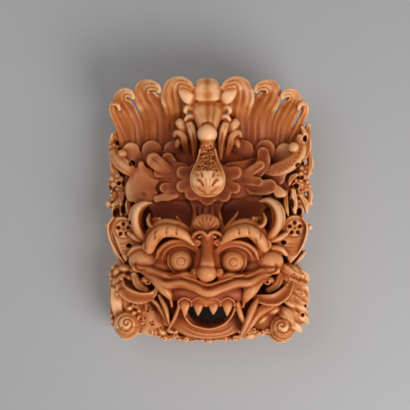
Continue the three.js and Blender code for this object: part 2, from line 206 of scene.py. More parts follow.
def strand(points, widths, heights, steps=None, sides=16, grooves=(), cup=0.0, lean=0.0, dome_end=0.7,
        square=0.75):
    """A carved bar along a smooth line. widths and heights are half sizes read along it, grooves are
    (place across at the root, place at the tip, width, depth), cup lifts the edges, lean rolls it, and
    square below 1 makes the section squarer."""
    steps = steps or max(12, 6 * (len(points) - 1))
    line = smooth_line(points, steps + 1)
    u = np.linspace(0, 1, steps + 1)
    w = np.maximum(smooth_line([(v, 0) for v in widths], steps + 1)[:, 0], 0.25)
    h = np.maximum(smooth_line([(v, 0) for v in heights], steps + 1)[:, 0], 0.25)
    ahead = np.gradient(line, axis=0)
    ahead /= np.linalg.norm(ahead, axis=1)[:, None]
    side = np.cross(ahead, (0.0, 0.0, 1.0))
    side /= np.maximum(np.linalg.norm(side, axis=1)[:, None], 1e-6)
    lift = np.cross(side, ahead)
    rolls = np.radians(np.interp(u, np.linspace(0, 1, len(np.atleast_1d(lean))),
        np.atleast_1d(lean)))[:, None]
    side, lift = side * np.cos(rolls) + lift * np.sin(rolls), lift * np.cos(rolls) - side * np.sin(rolls)
    cap = [(k / 3.6) * math.pi / 2 for k in (1, 2, 3)]
    rings = [(0, -math.sin(a) * dome_end, math.cos(a)) for a in reversed(cap)]
    rings += [(i, 0.0, 1.0) for i in range(steps + 1)]
    rings += [(steps, math.sin(a) * dome_end, math.cos(a)) for a in cap]
    turns = np.linspace(0, 2 * math.pi, sides, endpoint=False)
    place = np.sign(np.cos(turns)) * abs(np.cos(turns)) ** square
    rise = np.sign(np.sin(turns)) * abs(np.sin(turns)) ** square
    vertices = []
    for i, out, scale in rings:
        centre = line[i] + ahead[i] * out * min(w[i], h[i])
        sink = np.zeros(sides)
        for root, tip, wide, deep in grooves:
            sink += deep * np.exp(-((place - root - (tip - root) * u[i]) / wide) ** 2) * np.clip(rise * 3,
                0, 1)
        up = h[i] * rise - sink * scale + cup * w[i] * place ** 2
        ring = centre + np.outer(w[i] * place * scale, side[i]) + np.outer(up * scale, lift[i])
        vertices.append(ring)
    vertices = np.vstack(vertices) * MM + np.array(spot(0, 0, 0))
    count = len(rings)
    faces = []
    for i in range(count - 1):
        for k in range(sides):
            n = (k + 1) % sides
            faces.append((i * sides + k, i * sides + n, (i + 1) * sides + n, (i + 1) * sides + k))
    faces.append(tuple(range(sides))[::-1])
    faces.append(tuple((count - 1) * sides + k for k in range(sides)))
    wood.append(new_object("bar", vertices.tolist(), faces))


FEATHERS = {
    "first": ([(44, 78, 44), (44, 104, 50), (43, 124, 60), (44, 138, 72), (46, 150, 82), (44, 161, 90),
               (36, 167, 94),
               (26, 164, 96), (20, 159, 96)], [12, 12, 13, 15, 16, 13, 8.5, 6, 3.5]),
    "second": ([(70, 76, 42), (70, 99, 47), (70.5, 122, 56), (74.5, 137, 66), (81, 149, 78), (83, 159, 88),
                (76, 163, 94), (67, 160.5, 96), (63, 155, 96)], [18, 18, 17.5, 17, 16, 12.5, 8, 5.5, 3]),
    "third": ([(98, 74, 40), (99, 96, 44), (101, 114, 52), (106, 128, 62), (112, 140, 73), (113, 149, 82),
               (108, 154, 88), (101, 152, 90), (97, 147, 90)], [12, 13, 13.5, 13.5, 13, 10.5, 7, 5, 2.5]),
    "fourth": ([(110, 76, 36), (116, 94, 42), (121, 108, 49), (126, 121, 60), (130, 132, 70), (128, 140, 76),
                (123, 139, 79), (120, 133, 79)], [9, 8, 6, 5, 4.6, 4.2, 3.2, 2]),
}
for s in (-1, 1):
    for name, (path, widths) in FEATHERS.items():
        shift = 3.5 if s < 0 and name == "fourth" else 0
        lines = [(-0.3, 0.30, 0.06, 2.4), (-0.8, -0.45, 0.24, 2.4), (0.42, 0.72, 0.05, 1.2)]
        if name == "fourth":
            lines = [(-0.2, 0.2, 0.2, 1.2)]
        strand([(s * x - s * shift, y, z) for x, y, z in path], widths,
            [8, 7, 6, 5.5, 5, 5, 5, 4.5, 3.5][:len(path)], steps=60, sides=56,
            grooves=[(s * a, s * b, c, d) for a, b, c, d in lines], cup=0.14, lean=-s * 10)
    # the smooth lobe rolled inside the first tip
    strand([(s * 19, 143, 86), (s * 25, 148, 92), (s * 31, 156, 93), (s * 34, 162, 92)], [6, 9, 8, 4],
        [5, 7, 6, 4], sides=20)
    for k in (0, 1):
        egg(s * (22 - 4 * k), 158 + 2 * k, 95, 3.6, 3.2, 4)

strand([(0, 84, 36), (0, 112, 46), (0, 136, 62), (0, 158, 80)], [18, 20, 20, 16], [9, 7, 5, 4], sides=20,
    cup=0.1)
strand([(-0.7, 148, 91), (-0.7, 159, 93), (-0.7, 168, 90)], [18, 18.5, 14], [6, 6.5, 5], sides=44,
    dome_end=1.1, square=0.6, grooves=[(-0.17, -0.13, 0.05, 2.0), (0.05, 0.04, 0.05, 2.0)])

# ---- Scallops over the feathers' roots ----
# A row of plain round-ended scales, three on each side of the stem, cut flat with a sharp step.


def blade(points, widths, scoop=1.5, edge=1.2, vein=0.0):
    """Leaves a leaf lobe standing along a line of (x, y, z): round at its end, scooped, crisp at its edge."""
    count = 12 * len(points)
    line = smooth_line(points, count)
    half = smooth_line([(w, 0) for w in widths], count)[:, 0]
    reach = half.max() + 1
    where = window(line[:, 0].min() - reach, line[:, 0].max() + reach, line[:, 1].min() - reach,
        line[:, 1].max() + reach)
    x, y = across[where], along[where]
    best = np.full(x.shape, -1e9)
    level = np.zeros(x.shape)
    for (px, py, pz), w in zip(line, half):
        d = np.sqrt((x - px) ** 2 + (y - py) ** 2)
        inner = 1 - d / w
        closer = inner > best
        best[closer] = inner[closer]
        level[closer] = pz + scoop * (d[closer] / w) ** 2 - scoop - vein * np.exp(-(d[closer] / 1.1) ** 2)
        edge_here = edge / w
    rise = ease(best / edge_here)
    risen = ground[where] * (1 - rise) + level * rise
    ground[where] = np.where(best > 0, np.maximum(ground[where], risen), ground[where])


for x, y, r, z in [(-103, 80, 12.5, 54), (-75, 80.5, 14.8, 55), (-45, 80, 15.4, 56), (48, 81, 15.4, 56),
        (78, 82, 14.4, 55), (104, 79, 12.5, 54)]:
    blade([(x * 0.9, y - 34, 48), (x * 0.96, y - 12, z - 1), (x, y, z)], [r, r, r], scoop=-1.2, edge=1.2)

# ---- Forehead leaves ----
# Acanthus grows out sideways from under the bud and covers the forehead dome. Its lobes are
# scooped blades with round ends, cut in steps over one another above a broad plain panel.

fine_cuts = []  # what the small tools do once all forms are one skin


def veiner(points, width, depth, from_z=0.0, fade=0.25):
    """Notes a soft V groove along a line of (x, y), shallower at both ends. A depth below 0 is a ridge."""
    fine_cuts.append(("line", points, width, depth, from_z, fade))


def punch(x, y, radius, depth, from_z=0.0, squash=1.0, turn=0.0):
    """Notes a round dent at (x, y)."""
    fine_cuts.append(("dent", x, y, radius, depth, from_z, squash, turn))


plate([(-104, 58), (-92, 64), (-84, 57), (-70, 62), (-50, 66), (-26, 62), (-18, 40), (-20, 18), (-40, 12),
    (-60, 14), (-74, 10), (-92, 9), (-108, 12), (-114, 30), (-112, 50)], 6.5, edge=2.2, lift=True)
plate([(22, 62), (48, 68), (66, 72), (86, 64), (104, 62), (112, 50), (114, 32), (108, 18), (92, 15),
    (70, 18), (40, 14), (20, 18), (18, 40)], 6.5, edge=2.2, lift=True)
for top, crown, outline in [(65, 3, [(-103.5, 52), (-100.5, 58), (-95, 58), (-93, 65), (-86.5, 66.5),
        (-82.5, 59.5), (-71.5, 52), (-64, 42), (-68.5, 30), (-65.5, 22.5), (-71.5, 12.5), (-83, 10),
        (-103.5, 10), (-110, 17.5), (-111, 32), (-107, 42)]),
        (69, 1.5, [(86, 30), (92.5, 35), (101, 30), (107, 22.5), (102.5, 16.5), (90, 17.5)])]:
    plate(outline, top, edge=1.3, crown=crown)
for points, widths, scoop in [([(-40, 53, 69), (-48, 62, 70), (-53, 69, 69)], [7, 9, 9], 1.6),
        ([(-53, 54, 70), (-65, 61, 71.5), (-72, 67, 70)], [8, 10.5, 11], -2.4),
        ([(-42, 46, 71), (-55, 49, 72), (-65, 50, 71)], [6, 7.5, 7.4], 1.4),
        ([(-40, 31, 71), (-52, 30, 72), (-58, 29.5, 71)], [6, 7.5, 7.2], 1.6),
        ([(-44, 20, 70), (-56, 17, 70), (-67, 14.5, 69)], [6, 7, 6.4], -1.2),
        ([(56, 42, 69), (67, 53, 70), (75, 65, 69), (74.5, 77, 66)], [8, 10.5, 10, 8.5], 2.0),
        ([(44, 44, 71), (58, 52, 72), (70, 60, 71)], [6, 7.5, 7.2], -1.4),
        ([(60, 29, 71), (75, 30, 72), (83, 32, 71)], [9, 11.5, 10.5], 1.9),
        ([(46, 40, 73), (58, 39, 74), (67, 38, 73)], [6, 7.5, 7.2], 1.5)]:
    blade(points, widths, scoop=scoop, edge=1.4)
veiner([(-77, 46), (-68, 42.5), (-56, 43), (-46, 40)], 1.2, 2.2, from_z=50)
veiner([(-66, 31), (-62, 37), (-54, 38), (-44, 36)], 1.2, 2.2, from_z=50)
veiner([(-88, 22), (-85, 21), (-84, 18)], 1.2, 1.6, from_z=50)
for points in ([(-44, 55), (-50, 63), (-56, 72)], [(-62, 60), (-69, 65), (-75, 70)],
        [(44, 28), (66, 20), (92, 19)], [(44, 36), (58, 27), (70, 24)], [(58, 49), (68, 58), (74, 62)]):
    veiner(points, 0.8, 1.2, from_z=50)

# the bands that run up to the two top corners, each with its berry
strand([(-126, 76, 48), (-119, 66, 57), (-109, 57, 63), (-98, 49, 65)], [8, 9.5, 9, 6], [8, 7, 5, 2],
    sides=28, cup=-0.05, grooves=[(-0.5, -0.5, 0.12, 1.0), (0.5, 0.5, 0.12, 1.0)])
egg(-115, 75, 55, 7, 7, 8)
egg(-123, 72, 52, 6, 6, 7)
SASH = [(126, 98, 54), (124, 80, 60), (116, 67, 64.5), (102, 57.5, 67), (88, 53, 67), (78, 51, 64)]
strand(SASH, [6, 9, 10, 10, 8, 3], [8, 7, 6, 5, 4, 2.5], sides=32, cup=-0.06)
for k in range(11):
    f = k / 10
    x, y, z = smooth_line(SASH, 41)[int(4 + 34 * f)]
    for n in (-1, 0, 1):
        punch(x + n * 2.2, y + n * 4.4, 1.7, 0.9, from_z=54, squash=0.6, turn=30)
egg(115.5, 83.5, 64, 7.6, 7.6, 8)

# ---- Bowls ----
# Over each brow the forehead is sunk into a deep smooth bowl. Its upper edge is left sharp, and a
# narrow double strip runs down between the two.


def hollow(x, y, rx, ry, floor, rim, turn=0.0, power=1.3):
    """Cuts a bowl: floor is its deepest height, rim the height it reaches at its edge."""
    reach = max(rx, ry)
    where = window(x - reach, x + reach, y - reach, y + reach)
    r = oval(across[where] - x, along[where] - y, rx, ry, turn)
    ground[where] = np.where(r < 1, np.minimum(ground[where], floor + (rim - floor) * r ** power),
        ground[where])


for s, y, tall in ((-1, -11, 23), (1, -8, 25)):
    dome(s * 54, -9, 46, 30, 63, foot=60)
    hollow(s * 56, y, 37, tall, 57, 63, turn=-s * 5, power=1.3)
    hollow(s * 84, -14, 15, 22, 52, 64, power=1.6)
blade([(-1, 18, 72), (-1, 2, 74), (-1, -22, 76)], [25, 20, 23], scoop=0.4, edge=1.8)
for x in (-6.2, 3.0):
    veiner([(x, 7), (x, -6)], 1.2, 2.6, from_z=55)
for x in (-13, 10):
    veiner([(x, 7), (x * 1.05, -8)], 1.5, 2.2, from_z=55)

# ---- Column and bud ----
# A stem stands out from the crown's middle: a lipped cup, a waisted neck with a round knob, a
# beaded band, and a heavy pear-shaped bud, the mask's most forward point, wrapped in a cut leaf.

strand([(0, 128, 50), (0, 100, 55), (0, 60, 62), (0, 40, 66)], [17, 13, 12, 16], [20, 24, 24, 18], sides=20)
strand([(0, 139, 82), (0, 130, 86), (0, 118, 90), (0, 106, 94)], [20, 21, 17, 12.5], [10, 11, 11, 10],
    sides=40, grooves=[(0.02, 0.02, 0.05, 1.4), (-0.45, -0.4, 0.05, 1.0), (0.5, 0.45, 0.05, 1.0)])
for s in (-1, 1):
    egg(s * 13, 138, 86, 9, 5, 7, turn=-s * 10)
    strand([(s * 17, 132, 84), (s * 25, 135, 86), (s * 29, 131, 86), (s * 27, 127, 84)], [4, 4.4, 3.4, 2],
        [8, 7, 6, 4])
    strand([(s * 15, 122, 84), (s * 24, 123, 84), (s * 29, 119, 83)], [4, 4, 2.6], [9, 8, 6])
strand([(0, 120, 88), (0, 106, 92), (0, 92, 95), (0, 78, 96)], [14, 12, 9.5, 8.4], [11, 11, 11, 10],
    sides=28)
egg(-0.5, 99.5, 98, 13, 13.4, 13.5)
veiner([(-9, 108), (-5, 112.5), (0, 114), (5, 112.5), (9, 108)], 1.4, 2.4, from_z=90)
for row in range(3):
    for k in range(-2, 3):
        egg(k * 3.4 - 1.2, 83 - row * 3.6, 105 - abs(k) * 1.8, 1.7, 1.5, 2.4)
BUD_SHAPE = [10, 11.5, 14.5, 18.5, 21.6, 22, 18.5]
strand([(0, 80, 96), (0, 72, 98), (0, 62, 100), (0, 52, 102), (0, 43, 104), (0, 36, 105), (0, 27, 104)],
    BUD_SHAPE, [9, 10, 12, 15, 18, 19, 15], sides=36, steps=36, dome_end=0.5)
egg(0, 40, 104, 22, 22, 22.4)
for s in (-1, 1):
    strand([(s * 9.5, 79, 103), (s * 11.5, 70, 104), (s * 15, 60, 106), (s * 19.5, 50, 108),
        (s * 21.6, 40, 108), (s * 19, 28, 108), (s * 11, 20.5, 107), (0, 17.8, 107)], [1.5] * 7 + [1.3],
        [5] * 8, sides=10, steps=40)
veiner([(0, 82), (0, 70), (0, 58), (0, 51)], 7.5, 2.4, from_z=98, fade=0.12)
bud_rng = np.random.default_rng(3)
for row in range(9):
    for k in range(-3, 4):
        x = (k + 0.5 * (row % 2)) * 4.1 - 0.8 + bud_rng.uniform(-1, 1)
        if abs(x) < 6 + row * 0.9:
            punch(x, 82 - row * 3.7 + bud_rng.uniform(-1.2, 1.2), bud_rng.uniform(1.2, 2.6),
                bud_rng.uniform(2, 4.4), from_z=96, squash=bud_rng.uniform(0.7, 1.5),
                turn=bud_rng.uniform(0, 180))
for s in (-1, 1):
    veiner([(s * 9, 50), (s * 7.6, 46), (s * 6.6, 42)], 1.0, 2.2, from_z=100, fade=0.2)
    veiner([(s * 14, 39), (s * 10.5, 38), (s * 7.4, 34), (s * 5, 29)], 1.2, 3.0, from_z=100)
    for x0, y0, x1, y1 in ((1, 22, 3, 44), (2, 21, 6, 28), (3, 21, 12, 31), (4, 21, 17, 33),
            (9, 46, 16, 46)):
        veiner([(s * x0, y0), (s * (x0 + x1) / 2, (y0 + y1) / 2 - 1), (s * x1, y1)], 0.8, 1.0, from_z=100)
# scroll leaves standing on either side of the neck
for s in (-1, 1):
    strand([(s * 17, 72, 58), (s * 18, 92, 70), (s * 21, 107, 78), (s * 24, 115, 81)], [3.4, 5, 6.4, 5],
        [12, 14, 14, 10], sides=28, grooves=[(-0.35 * s, 0.35 * s, 0.14, 2.4)])
    strand([(s * 26, 76, 52), (s * 30, 90, 62), (s * 34, 100, 70), (s * 41, 103, 71), (s * 44, 99, 69)],
        [4, 5.5, 6, 4, 2], [11, 12, 12, 8, 6], sides=28, grooves=[(0.3 * s, 0.1 * s, 0.14, 2.2)])
    strand([(s * 28, 106, 60), (s * 33, 112, 72), (s * 38, 117, 74)], [7, 8, 6], [12, 11, 8], sides=20)
    strand([(s * 30, 94, 56), (s * 38, 92, 62), (s * 41, 86, 60)], [4, 5, 3], [9, 9, 7])

# ---- Lotus under the bud ----
# Round petals lie in a ring round the bud, all but at its top, each with a thin turned-up rim.

plate([(36 * math.cos(a), 38 + 30 * math.sin(a)) for a in np.linspace(0, 2 * math.pi, 16, endpoint=False)],
    77, edge=3)
for cx, cy, px, py, half in [(0, 26, -0.5, 16.5, 11.5), (-14, 28, -21, 22, 10.5), (15, 28, 21.5, 20.5, 11),
        (-22, 34, -34, 31.5, 9), (22, 33, 36, 29.5, 9), (-22, 48, -33, 50, 9.5), (22, 48, 37, 50, 9.5)]:
    blade([(cx, cy, 77.5), ((cx + px) / 2, (cy + py) / 2, 78), (px, py, 78)], [half, half, half], scoop=0.9,
        edge=1.8)

# ---- Horns round the bowls ----
# A crescent horn curls round the outer end of each bowl. Inside it sits a small scroll, and a
# slim thorn stands up from the brow's inner end.

HORN_LEFT = [(-73, 10, 84), (-84, 8.5, 88), (-92, 2, 90), (-95.5, -9, 90), (-94, -22, 88), (-88, -33, 85),
    (-79, -41, 82)]
HORN_RIGHT = [(68.3, 12, 84), (80, 13, 88), (90, 5, 90), (94, -7, 90), (92.5, -20, 88), (86, -31, 85),
    (77, -38, 82)]
for horn, s in ((HORN_LEFT, -1), (HORN_RIGHT, 1)):
    strand(horn, [0.8, 3.4, 4.6, 5, 5, 4.6, 3.4], [2, 6, 9, 10, 10, 9, 7], steps=44, sides=24, cup=0.12,
        lean=-s * 16)
    strand([(x * 0.985, y, z - 22) for x, y, z in horn[1:]], [4, 6.5, 7.5, 8, 7.5, 6],
        [14, 19, 20, 20, 18, 14], steps=30)
    strand([(x * 1.03, y, z - 34) for x, y, z in horn[1:]], [5, 7, 8, 8, 8, 6], [14, 18, 18, 18, 16, 14],
        steps=24)

for (cx, cy), s in (((-65, -16), -1), ((62.5, -15), 1)):
    strand([(cx - s * 2, cy + 5, 86), (cx - s * 3, cy - 1, 87), (cx + s * 2, cy - 6, 87),
        (cx + s * 9, cy - 5, 86), (cx + s * 13, cy + 2, 82), (cx + s * 12, cy + 10, 76)],
        [2.2, 2.6, 3, 3.2, 3, 1.2], [6, 7, 8, 8, 7, 4], steps=30)
    egg(cx, cy + 2.5, 84, 3.8, 3.8, 5.5)
    egg(cx + s * 5, cy - 2, 62, 13, 9, 20)
strand([(15, -36, 80), (27, -20, 85), (36, -9, 83), (40.5, -1, 79)], [3.4, 2.8, 2, 0.6], [9, 8, 5, 2])
strand([(-15, -36, 80), (-27, -24, 85), (-36, -15, 83), (-42, -7, 79)], [3.4, 2.8, 2, 0.6], [9, 8, 5, 2])
for s in (-1, 1):
    strand([(s * 16, -6, 66), (s * 18, -18, 72), (s * 22, -34, 78)], [2.6, 4, 5], [12, 15, 12])

# ---- Palmette and nose root ----
# Between the brows stands a fluted shell, and under it a wavy ridge that ends in two volutes.


def spiral(cx, cy, z, radius, start, turns, rise, thin=0.25, width=2.0, height=4.0):
    """A rolled scroll: turns is below 0 when it rolls clockwise, and it rises towards its eye."""
    path = []
    for i in range(10):
        f = i / 9
        a = math.radians(start + 360 * turns * f)
        r = radius * (1 - (1 - thin) * f)
        path.append((cx + r * math.cos(a), cy + r * math.sin(a), z + rise * f))
    strand(path, [width, width * 0.9, width * 0.7], [height, height, height * 0.8], steps=28, sides=10)


egg(-1.5, -18, 88, 18.5, 13.5, 13)
for k in range(-3, 4):
    a = math.radians(90 - k * 22)
    veiner([(-1.5 + 4 * math.cos(a), -31 + 8 * math.sin(a)),
        (-1.5 + 17 * math.cos(a), -28 + 22 * math.sin(a))], 1.1, 1.8, from_z=70)
egg(-1, -34, 86, 20, 12, 14)
strand([(-17.5, -41, 96), (-20, -36, 98), (-16, -31, 100), (-10, -28.5, 102), (-5, -29.5, 104),
    (-0.5, -33, 105), (4.5, -29.5, 104), (9.5, -28.5, 102), (15.5, -31, 100), (19.5, -36, 98),
    (17.5, -41, 96)], [1.8, 2.2, 2.4, 2.4, 2.4, 2.4, 2.4, 2.4, 2.4, 2.2, 1.8], [6] * 11, steps=50, sides=12)
strand([(-11, -35, 100), (-6, -33.5, 102), (-0.5, -37, 103), (5, -33.5, 102), (10, -35, 100)],
    [1.4, 1.8, 1.8, 1.8, 1.4], [5] * 5)
spiral(-13.5, -42, 97, 4.8, 110, 1.3, 3)
spiral(13, -41.5, 97, 4.8, 70, -1.3, 3)

# ---- Brows, lids and eyes ----
# Each brow is a heavy arch cut in broad facets, with a leafy outer end. Lid folds run close under
# it, and the eye is a full ball in a deep ring, with an iris ring cut round its middle.

BROW_LEFT = [(-76, -50, 90), (-71, -38, 97), (-60, -28, 101), (-45, -27, 103), (-31, -32, 101),
    (-19, -43, 96)]
BROW_RIGHT = [(74, -48, 90), (67, -36.5, 97), (54, -27, 101), (39, -28, 103), (28, -33, 101),
    (18.5, -41, 96)]
for brow, s in ((BROW_LEFT, -1), (BROW_RIGHT, 1)):
    strand(brow, [6, 8.5, 8.5, 8, 6.5, 3], [12, 13, 13, 12, 12, 9], steps=44, sides=10, lean=s * 6)
    strand([(x * 1.01, y + 5, z - 16) for x, y, z in brow], [9, 11, 11, 10, 8, 6], [10, 12, 12, 12, 10, 8],
        steps=30)
    strand([(brow[0][0] + s * 2, brow[0][1] + 10, 90), (brow[0][0] + s * 6, brow[0][1] + 2, 88),
        (brow[0][0] + s * 2, brow[0][1] - 6, 86)], [3, 4, 1.6], [8, 8, 6])
    for x, y in [(s * 67, -29), (s * 52, -24), (s * 39, -24), (s * 62, -40)]:
        veiner([(x - s * 2, y + 5), (x + s * 1.5, y - 2), (x + s * 0.5, y - 9)], 1.2, 1.8, from_z=88)

EYES = [(-34.4, -66.3), (33.2, -67.5)]
for (ex, ey), s in zip(EYES, (-1, 1)):
    for reach, sweep, z, thick in ((26.5, 3, 93, 3.4), (21.5, 1, 91, 2.6)):
        arc = []
        for k in range(9):
            a = math.radians(90 + s * (-78 + k * 160 / 8))
            arc.append((ex + s * sweep + reach * 1.12 * math.cos(a), ey + reach * 0.94 * math.sin(a) + 1,
                z - 15 * ((k - 4.4) / 4.4) ** 2))
        strand(arc, [thick * 0.5] + [thick] * 7 + [thick * 0.5], [9] * 9, steps=36, sides=14)
    ring = [(ex + 17 * math.cos(2 * math.pi * k / 16), ey + 17 * math.sin(2 * math.pi * k / 16),
        81) for k in range(17)]
    strand(ring, [2.2] * 17, [7] * 17, steps=64, sides=10)
    egg(ex, ey, 85.5, 15, 15, 15.5)
    iris = [(ex + s * 0.5 + 5.6 * math.cos(2 * math.pi * k / 12),
        ey - 0.5 + 5.6 * math.sin(2 * math.pi * k / 12)) for k in range(13)]
    veiner(iris, 0.7, 1.5, from_z=90, fade=0.01)
    veiner([(ex + s * 22, ey - 12), (ex + s * 10, ey - 20), (ex - s * 8, ey - 19)], 1.4, 2.0, from_z=60)

# ---- Nose ----
# A straight bridge runs down from the volutes to a round ball, with a small scroll each side.

strand([(-0.5, -38, 94), (-0.5, -50, 96), (-0.5, -62, 99), (-0.5, -74, 105)], [9, 7.8, 8.4, 10],
    [12, 12, 13, 13], sides=24)
strand([(-0.5, -44, 84), (-0.5, -60, 88), (-0.5, -78, 92)], [15, 16, 18], [12, 12, 13], sides=24)
egg(-1, -81, 108, 13, 11.5, 14)
for s in (-1, 1):
    egg(s * 14 - 0.5, -81, 100, 7.5, 6.5, 10)
    veiner([(s * 18.5, -76), (s * 20, -80), (s * 17, -83.5), (s * 14.5, -80.5), (s * 16.5, -78.5)], 0.8,
        2.2, from_z=90, fade=0.05)
    veiner([(s * 8, -72), (s * 11, -78), (s * 10.5, -86)], 1.0, 1.8, from_z=92)

# ---- Cheeks, lips and gum ----
# Smooth full cheeks stand on the cheekbones. The upper lip is one broad wavy band with a second
# fold above it, and under it the gum carries four pointed teeth and two fangs.

egg(-82, -67, 62, 24, 18.5, 23)
egg(78, -69, 62, 24, 18, 23)
egg(-62, -76, 66, 20, 13, 18, turn=-18)
egg(60, -77, 66, 20, 13, 18, turn=18)
strand([(-94, -77, 72), (-76, -80, 80), (-58, -85, 87), (-42, -87, 91), (-26, -84, 94), (-14, -90, 96)],
    [5, 6, 5, 4.4, 4, 3], [12, 12, 12, 12, 12, 10], steps=30)
strand([(90, -80, 72), (74, -81, 80), (57, -85, 87), (42, -87, 91), (27, -85, 94), (14, -90, 96)],
    [5, 6, 5, 4.4, 4, 3], [12, 12, 12, 12, 12, 10], steps=30)
veiner([(-95, -68), (-95, -75), (-89, -79), (-80, -79)], 1.6, 3.2, from_z=55)
veiner([(91, -70), (90, -78), (84, -82), (75, -81)], 1.6, 3.2, from_z=55)
LIP = [(-84, -83, 78), (-70, -89.5, 87), (-54, -96.5, 95), (-34, -95.5, 100), (-17, -100, 103),
    (0.5, -106, 105), (19, -101, 103), (37, -95.5, 100), (54, -94, 95), (69, -87.5, 87), (86, -82, 78)]
strand(LIP, [2.5, 4.8, 5.8, 5.8, 5.8, 6.2, 5.8, 5.8, 5.8, 4.8, 2.5],
    [8, 10, 12, 12, 12, 12, 12, 12, 12, 10, 8], steps=70, sides=24)
strand([(x, y + 9.5, z - 3) for x, y, z in LIP[1:-1]], [1.4, 2, 2.4, 2.4, 2.4, 2.4, 2.4, 2, 1.4], [9] * 9,
    steps=60, sides=12)
egg(-0.5, -108, 72, 51, 20, 26)
strand([(-45, -108, 84), (-24, -110, 91), (0, -113, 94), (24, -110, 91), (45, -108, 84)],
    [11, 13, 13, 13, 11], [10] * 5, steps=40, sides=24, square=1.0)

TEETH = [(-29.8, -139), (-12.2, -137.5), (7.6, -136), (25.8, -138)]
for tx, tip_y in TEETH:
    strand([(tx, -112, 88), (tx, -120, 93), (tx, -129, 94), (tx - 0.4, tip_y - 1, 92)],
        [8.4, 8.6, 5.2, 0.5], [8, 6.5, 5, 1], steps=20, sides=20)
    arch = [(tx - 8.8, -124, 95), (tx - 7.6, -118, 98), (tx, -114, 100), (tx + 7.6, -118, 98),
        (tx + 8.8, -124, 95)]
    strand(arch, [0.9, 1.2, 1.3, 1.2, 0.9], [5, 5, 5, 5, 5], steps=22, sides=10)

strand([(-75, -89, 80), (-65, -95, 90), (-56, -103, 95), (-50.5, -111, 93), (-48, -119, 87)],
    [2, 6.5, 7.5, 4.6, 0.6], [8, 11, 11, 8, 2], sides=20, square=0.9)
strand([(74, -90, 80), (63, -98, 89), (54, -107, 93), (45, -126, 86)], [2, 7, 8.5, 0.6], [8, 11, 11, 2],
    sides=20, square=0.9)
for s in (-1, 1):
    strand([(s * 48, -98, 90), (s * 49, -110, 88), (s * 47, -124, 82)], [2, 2.6, 2.2], [12, 12, 10],
        sides=10)
    hollow(s * 76, -102, 19, 12, 40, 66, turn=-s * 20)
    egg(s * 83, -93, 62, 7, 5, 14, turn=-s * 20)
    spiral(s * 80, -95, 70, 5.5, 90 - s * 60, s * 1.2, 4, width=1.8)

# ---- Lower jaw ----
# The lower lip is a thin rim round the open mouth, which is cut right through to the hollow back.
# Ribs run from the gum's ends to the chin, and the chin's edge is a frill of small curls.

dome(0, -142, 58, 32, 76, foot=50, power=0.4)
MOUTH = (2, -133, 29, 21.5)
strand([(-33, -124, 84), (-31, -134, 80), (-27, -144, 77), (-18, -152, 76), (2, -156.5, 76),
    (20, -151.5, 76), (29, -143, 77), (34, -133, 80), (37, -123, 84)], [2, 2, 2, 1.8, 1.8, 1.8, 2, 2, 2],
    [14, 14] + [12] * 5 + [14, 14], steps=50)
strand([(-36, -122, 88), (-42, -138, 83), (-50, -154, 74)], [2.6, 2.6, 1.6], [12, 14, 12])
strand([(38, -120, 88), (43, -136, 84), (50, -152, 76)], [4, 4, 2], [12, 14, 12])
strand([(-62, -116, 74), (-55, -130, 80), (-50, -152, 76)], [2.6, 3.4, 1.6], [14, 16, 12])
strand([(-78, -116, 66), (-67, -124, 72), (-57, -140, 74), (-51, -155, 72)], [2.8, 3.4, 2.8, 1.4],
    [16, 16, 14, 12])
strand([(64, -120, 70), (57, -134, 80), (51, -148, 82), (45, -163, 72)], [4, 5, 4.2, 1.6], [16, 18, 16, 12])
strand([(78, -123, 62), (66, -137, 66), (56, -153, 64)], [6, 7, 5], [16, 16, 14])
veiner([(-34, -150), (-16, -160), (3, -163), (22, -160), (38, -149)], 1.4, 2.0, from_z=40)
veiner([(-40, -154), (-18, -166), (3, -169), (24, -166), (42, -155)], 1.2, 1.6, from_z=30)

rng = np.random.default_rng(7)
for k in range(19):
    x = -66 + k * 7.4 + rng.uniform(-1, 1)
    y = -173 - 3 * math.cos(x / 34) + rng.uniform(-2, 2)
    z = 46 + rng.uniform(-6, 6) - abs(x) * 0.1
    egg(x, y + 2, z - 6, 6.5, 5.6, 13, turn=rng.uniform(-30, 30))
    spiral(x, y + 1, z + 5, 3.6, rng.uniform(0, 360), 1.0, 2, width=1.4, height=3)
for k in range(12):
    x = -50 + k * 9.4 + rng.uniform(-1.5, 1.5)
    egg(x, -164 + rng.uniform(-2, 2) + abs(x) * 0.06, 58 - abs(x) * 0.1, 6.5, 3.4, 9,
        turn=rng.uniform(-35, 35))

# ---- Leaves and lobes beside the jaw ----
# Curved leaves cradle the mouth's corners, and fleshy lobes fill the space down to the pods.

strand([(-117, -93, 66), (-113, -104, 70), (-101, -112, 75), (-85, -114.5, 79), (-72, -110, 81),
    (-67, -101, 80)], [5, 7, 8.5, 7.5, 4.6, 0.8], [5, 5, 5, 5, 4, 2], steps=40, sides=28, cup=0.75,
    lean=-12)
strand([(56, -112, 78), (70, -118, 80), (88, -119, 79), (103, -111, 74), (112, -98, 67)],
    [1.2, 6, 8, 7.5, 4], [4, 5, 5, 5, 4], steps=40, sides=28, cup=0.75, lean=12)
strand([(-112, -106, 50), (-94, -118, 56), (-74, -114, 60)], [8, 9, 7], [18, 18, 16])
strand([(66, -120, 60), (88, -122, 58), (106, -108, 50)], [7, 9, 8], [16, 18, 18])
for s in (-1, 1):
    strand([(s * 98, -88, 58), (s * 92, -100, 62), (s * 80, -108, 64)], [5, 6.5, 4], [12, 12, 10], sides=20,
        grooves=[(0, 0, 0.2, 1.4)])
lace_rng = np.random.default_rng(11)
for k in range(46):
    f, g = lace_rng.uniform(0, 1), lace_rng.uniform(-1, 1)
    x, y = -98 + 34 * f + 9 * g, -124 - 38 * f + 8 * g
    egg(x, y, 56 - 10 * f, lace_rng.uniform(3, 5.4), lace_rng.uniform(2.2, 3.6), 8,
        turn=lace_rng.uniform(0, 180))
